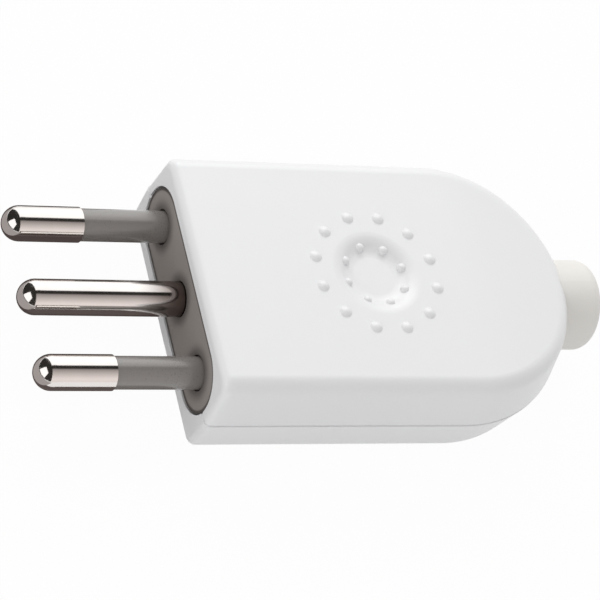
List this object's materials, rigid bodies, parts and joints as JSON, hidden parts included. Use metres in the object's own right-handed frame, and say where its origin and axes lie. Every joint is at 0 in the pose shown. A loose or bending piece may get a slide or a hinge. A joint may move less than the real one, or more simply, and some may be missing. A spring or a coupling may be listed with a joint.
{
  "type": "electrical plug",
  "caption": "In-line three-pin mains plug with a flat white two-part housing, sleeved outer pins, a grey pin carrier and a short cord guard.",
  "frame": {"origin": "on the earth pin's axis, in the plane where the pins leave the housing", "axes": "+X towards the cord, along the pins; +Y along the row of pins, towards the line pin; +Z out of the broad front face, with the plug lying on its flat back"},
  "size_m": [0.071, 0.0316, 0.013],
  "materials": {
    "housing_white": "white thermoplastic, satin gloss",
    "carrier_grey": "warm grey moulded insulator",
    "pin_nickel": "nickel-plated brass, polished",
    "sleeve_grey": "grey insulating sleeve",
    "screw_steel": "zinc-plated steel",
    "guard_cream": "cream soft plastic",
    "clamp_white": "white moulded plastic",
    "nut_brass": "plain brass"
  },
  "bodies": {
    "root": {"front_shell": "housing_white", "rear_shell": "housing_white", "pin_carrier": "carrier_grey", "carrier_cover": "carrier_grey", "earth_pin": "pin_nickel", "line_pin": "pin_nickel", "neutral_pin": "pin_nickel", "line_sleeve": "sleeve_grey", "neutral_sleeve": "sleeve_grey", "earth_terminal_screw": "screw_steel", "line_terminal_screw": "screw_steel", "neutral_terminal_screw": "screw_steel", "cord_guard": "guard_cream", "cord_clamp": "clamp_white", "clamp_screw_left": "screw_steel", "clamp_screw_right": "screw_steel", "shell_screw_left": "screw_steel", "shell_screw_right": "screw_steel", "shell_nut_left": "nut_brass", "shell_nut_right": "nut_brass"}
  },
  "joints": []
}
